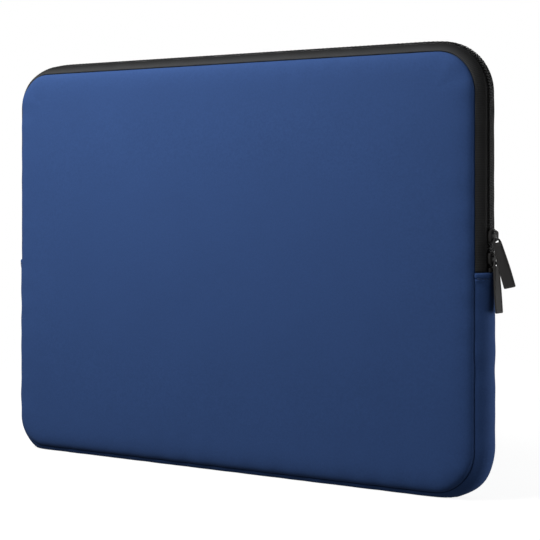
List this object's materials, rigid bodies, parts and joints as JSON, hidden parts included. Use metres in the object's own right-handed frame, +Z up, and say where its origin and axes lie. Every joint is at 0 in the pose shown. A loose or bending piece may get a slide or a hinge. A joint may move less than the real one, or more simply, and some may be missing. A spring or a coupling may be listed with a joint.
{
  "type": "laptop sleeve",
  "caption": "Zipped neoprene laptop sleeve with crowned panels, a gusset band, a coil zip over the top, sliders with pull tabs and a front that folds open.",
  "frame": {"origin": "centre of the flat strip along the bottom gusset that the sleeve stands on", "axes": "+Z up, +X along the width towards the sliders, +Y from the front panel to the back panel"},
  "size_m": [0.3721, 0.028, 0.2607],
  "materials": {
    "neoprene_blue": "fine knit face laminated to neoprene foam, matt with a soft sheen",
    "lining_knit": "short plush knit",
    "zip_tape": "woven polyester tape, matt",
    "zip_coil": "polyester monofilament, satin",
    "binding_tape": "ribbed binding tape",
    "thread_blue": "spun polyester thread",
    "black_coated_metal": "black enamel over die-cast zinc, satin",
    "spring_steel": "bare spring steel strip"
  },
  "bodies": {
    "shell": {"back_panel": "neoprene_blue", "back_lining": "lining_knit", "front_panel_lower": "neoprene_blue", "front_lining_lower": "lining_knit", "gusset_band": "neoprene_blue", "gusset_lining": "lining_knit", "zip_tape_back": "zip_tape", "zip_coil_back": "zip_coil", "zip_tape_front_right": "zip_tape", "zip_coil_front_right": "zip_coil", "zip_tape_front_left": "zip_tape", "zip_coil_front_left": "zip_coil", "back_seam_binding": "binding_tape", "front_seam_binding_lower": "binding_tape", "end_stop_right": "zip_coil", "end_stop_left": "zip_coil", "hem_stitching_right": "thread_blue", "hem_stitching_left": "thread_blue"},
    "flap": {"front_panel_upper": "neoprene_blue", "front_lining_upper": "lining_knit", "zip_tape_front_upper": "zip_tape", "zip_coil_front_upper": "zip_coil", "front_seam_binding_upper": "binding_tape"},
    "upper_slider": {"upper_slider_body": "black_coated_metal", "upper_slider_crown": "black_coated_metal", "upper_slider_pawl": "spring_steel"},
    "upper_pull": {"upper_pull_tab": "black_coated_metal"},
    "lower_slider": {"lower_slider_body": "black_coated_metal", "lower_slider_crown": "black_coated_metal", "lower_slider_pawl": "spring_steel"},
    "lower_pull": {"lower_pull_tab": "black_coated_metal"}
  },
  "joints": [
    {"name": "flap_fold", "type": "hinge", "parent": "shell", "child": "flap", "pos_m": [0, -0.014, 0.15665], "axis": [1, 0, 0], "range_deg": [0, 60]},
    {"name": "upper_slider_run", "type": "slide", "parent": "shell", "child": "upper_slider", "axis": [0, 0, 1], "range_m": [0, 0.076]},
    {"name": "upper_pull_swing", "type": "hinge", "parent": "upper_slider", "child": "upper_pull", "pos_m": [0.181, 0, 0.14795], "axis": [0, -1, 0], "range_deg": [0, 100]},
    {"name": "lower_slider_run", "type": "slide", "parent": "shell", "child": "lower_slider", "axis": [0, 0, 1], "range_m": [0, 0.0012]},
    {"name": "lower_pull_swing", "type": "hinge", "parent": "lower_slider", "child": "lower_pull", "pos_m": [0.181, 0, 0.13475], "axis": [0, -1, 0], "range_deg": [-3, 14]}
  ]
}
